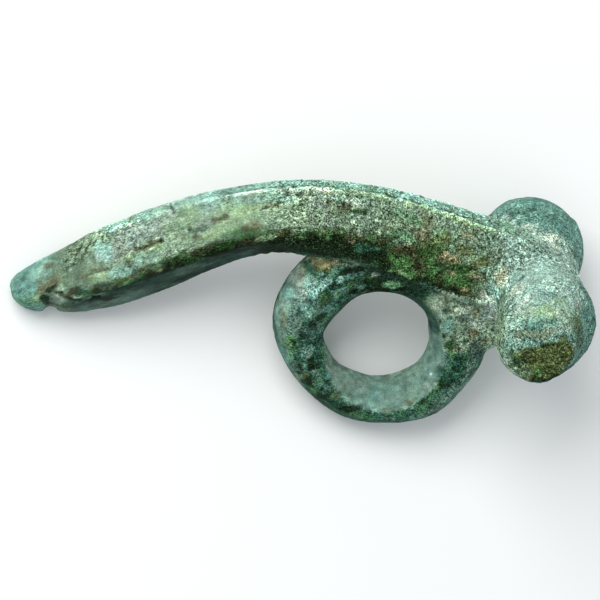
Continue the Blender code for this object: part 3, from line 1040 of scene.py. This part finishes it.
def patina_colour(make, tint, grain, places, fine):
    """The tint, broken up by dark gaps, pale grains, threads, specks and pale flecks, most where it is
    grainy. The pale grains and flecks are partly painted glints.
    """
    finest = make.noise(places, 8.0, 2.0, 0.7)
    threads = make.noise(places, 1.6, 2.0, 0.6, 1.2)
    dark_gaps = make.product(make.mapped(fine, 0.52, 0.36), make.mapped(grain, 0.0, 0.8, 0.20, 1.0))
    # Pale grains: corrosion grains, and painted glints.
    pale_grains_and_glints = make.product(make.mapped(fine, 0.52, 0.64), make.mapped(grain, 0.0, 0.8, 0.25, 0.95))
    pale_threads = make.product(make.thread(threads, 0.5, 0.03), make.mapped(grain, 0.40, 1.0, 0.0, 0.60))
    dark_threads = make.product(make.thread(threads, 0.44, 0.035), make.mapped(grain, 0.20, 0.9, 0.0, 0.9))
    specks = make.mapped(finest, 0.38, 0.62, 0.22, 2.2)
    # Light added in sparse fine flecks: pale corrosion, and painted glints.
    flecks_and_glints = make.product(make.mapped(finest, 0.60, 0.72), grain)
    pale = make.mixed(grain, tint, PALE_SHADE, "MULTIPLY")
    colour = make.mixed(dark_gaps, tint, GAP_SHADE, "MULTIPLY")
    colour = make.mixed(pale_grains_and_glints, colour, pale)
    colour = make.mixed(pale_threads, colour, pale)
    colour = make.mixed(dark_threads, colour, THREAD_SHADE, "MULTIPLY")
    colour = make.mixed(make.mapped(grain, 0.0, 0.8, 0.20, 1.0), colour, specks, "MULTIPLY")
    return make.mixed(flecks_and_glints, colour, FLECK_AND_GLINT_LIGHT, "ADD")


def patina_material():
    """Corroded bronze: dull, rough and finely bumpy, with its colour and grain read from the mesh."""
    make = Shading("patinated_bronze")
    places = make.attribute("casting", "Vector")
    tint = make.attribute("tint", "Color")
    grain = make.attribute("grain", "Fac")
    fine = make.noise(places, 3.6, 3.0, 0.75)
    strength = make.mapped(grain, 0.0, 1.0, 0.25, 1.0)
    bump = make.node("Bump", {"Distance": BUMP * MM, "Strength": strength, "Height": fine})
    inputs = {
        "Base Color": patina_colour(make, tint, grain, places, fine),
        "Roughness": make.mapped(grain, 0.0, 1.0, 0.58, 0.85),
        "Normal": bump.outputs["Normal"],
        "Metallic": 0.0,
        "Specular IOR Level": 0.05,
    }
    make.fill(make.shader, inputs)
    return make.material


# --- Camera, light and floor ---
def picture_axes():
    """Right, up and backwards in the picture, in the casting's frame."""
    yaw, pitch = radians(CAMERA_YAW), radians(CAMERA_PITCH)
    back = Vector((-sin(yaw) * cos(pitch), -cos(yaw) * cos(pitch), sin(pitch)))
    right = Vector((cos(yaw), -sin(yaw), 0.0))
    return right, back.cross(right), back


def add_camera(to_frame):
    right, up, back = picture_axes()
    place = right * CAMERA_AIM[0] + up * CAMERA_AIM[1] + back * CAMERA_DISTANCE
    turn = Matrix((right, up, back)).transposed().to_4x4()
    camera = added("camera", bpy.data.cameras.new("camera"))
    world = to_frame @ Matrix.Translation(place) @ turn
    camera.matrix_world = Matrix.LocRotScale(world.to_translation(), world.to_quaternion(), None)
    camera.data.angle = 2 * atan(PICTURE_WIDTH / 2 / CAMERA_DISTANCE)
    camera.data.clip_start = 0.01
    bpy.context.scene.camera = camera


def add_light(to_frame, name, direction, distance, size, watts, colour):
    """A square soft light that shines on the pendant from a direction in the picture's axes."""
    right, up, back = picture_axes()
    from_side = right * direction[0] + up * direction[1] + back * direction[2]
    away = (to_frame.to_3x3() @ from_side).normalized()
    data = bpy.data.lights.new(name, "AREA")
    data.size = size
    data.energy = watts
    data.color = colour
    light = added(name, data)
    light.location = away * distance
    light.rotation_euler = away.to_track_quat("Z", "Y").to_euler()


def add_floor():
    bpy.ops.mesh.primitive_plane_add(size=FLOOR_SIZE, location=(0, 0, 0))
    floor = bpy.context.object
    floor.name = "floor"
    make = Shading("floor")
    make.fill(make.shader, {"Base Color": FLOOR_COLOUR, "Roughness": 0.9})
    floor.data.materials.append(make.material)


def add_world():
    world = bpy.data.worlds.new("studio")
    bpy.context.scene.world = world
    world.use_nodes = True
    background = world.node_tree.nodes["Background"]
    background.inputs["Color"].default_value = SKY_COLOUR
    background.inputs["Strength"].default_value = SKY_STRENGTH


def shape(skin):
    """The form: creases filled, swellings, the ring, the nick under the tip and the line along the back."""
    x = skin.points[:, 0]
    fill_creases(skin, 30, 0.35 + 0.65 * ramp(x, 6.0, 12.0))
    fill_creases(skin, 70, ramp(x, 8.0, 12.0))
    smooth(skin, 1)
    swell(skin)
    shape_ring(skin)
    smooth(skin, 1)
    cut_nick(skin)
    smooth(skin, 16, 0.5 * ramp(x, -29.5, -31.5))
    line_back(skin)


def corrode(skin):
    """The relief and the patina, whose colour, grain and places are kept on the mesh for the material."""
    at = Places(skin)
    grain = crustiness(at)
    skin.push(relief(at, grain))
    tint = np.hstack([paint_patina(at, skin), np.ones((skin.count, 1))])
    write_attribute(skin.mesh, "casting", "FLOAT_VECTOR", "vector", grain_places(at))
    write_attribute(skin.mesh, "grain", "FLOAT", "value", grain)
    write_attribute(skin.mesh, "tint", "FLOAT_COLOR", "color", tint)


def main():
    to_frame = casting_to_frame()
    pendant = fine_copy(frame["nodes"][NODE], "pendant", to_frame.inverted())
    print("pendant:", 2 * len(pendant.data.polygons), "triangles")
    skin = Skin(pendant.data)
    shape(skin)
    corrode(skin)
    pendant.data.transform(to_frame)
    pendant.data.shade_smooth()
    pendant.data.materials.clear()
    pendant.data.materials.append(patina_material())
    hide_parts(NODE)
    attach(pendant, "root")
    add_camera(to_frame)
    for light in LIGHTS:
        add_light(to_frame, *light)
    add_floor()
    add_world()
    bpy.context.scene.view_settings.view_transform = "Standard"


main()
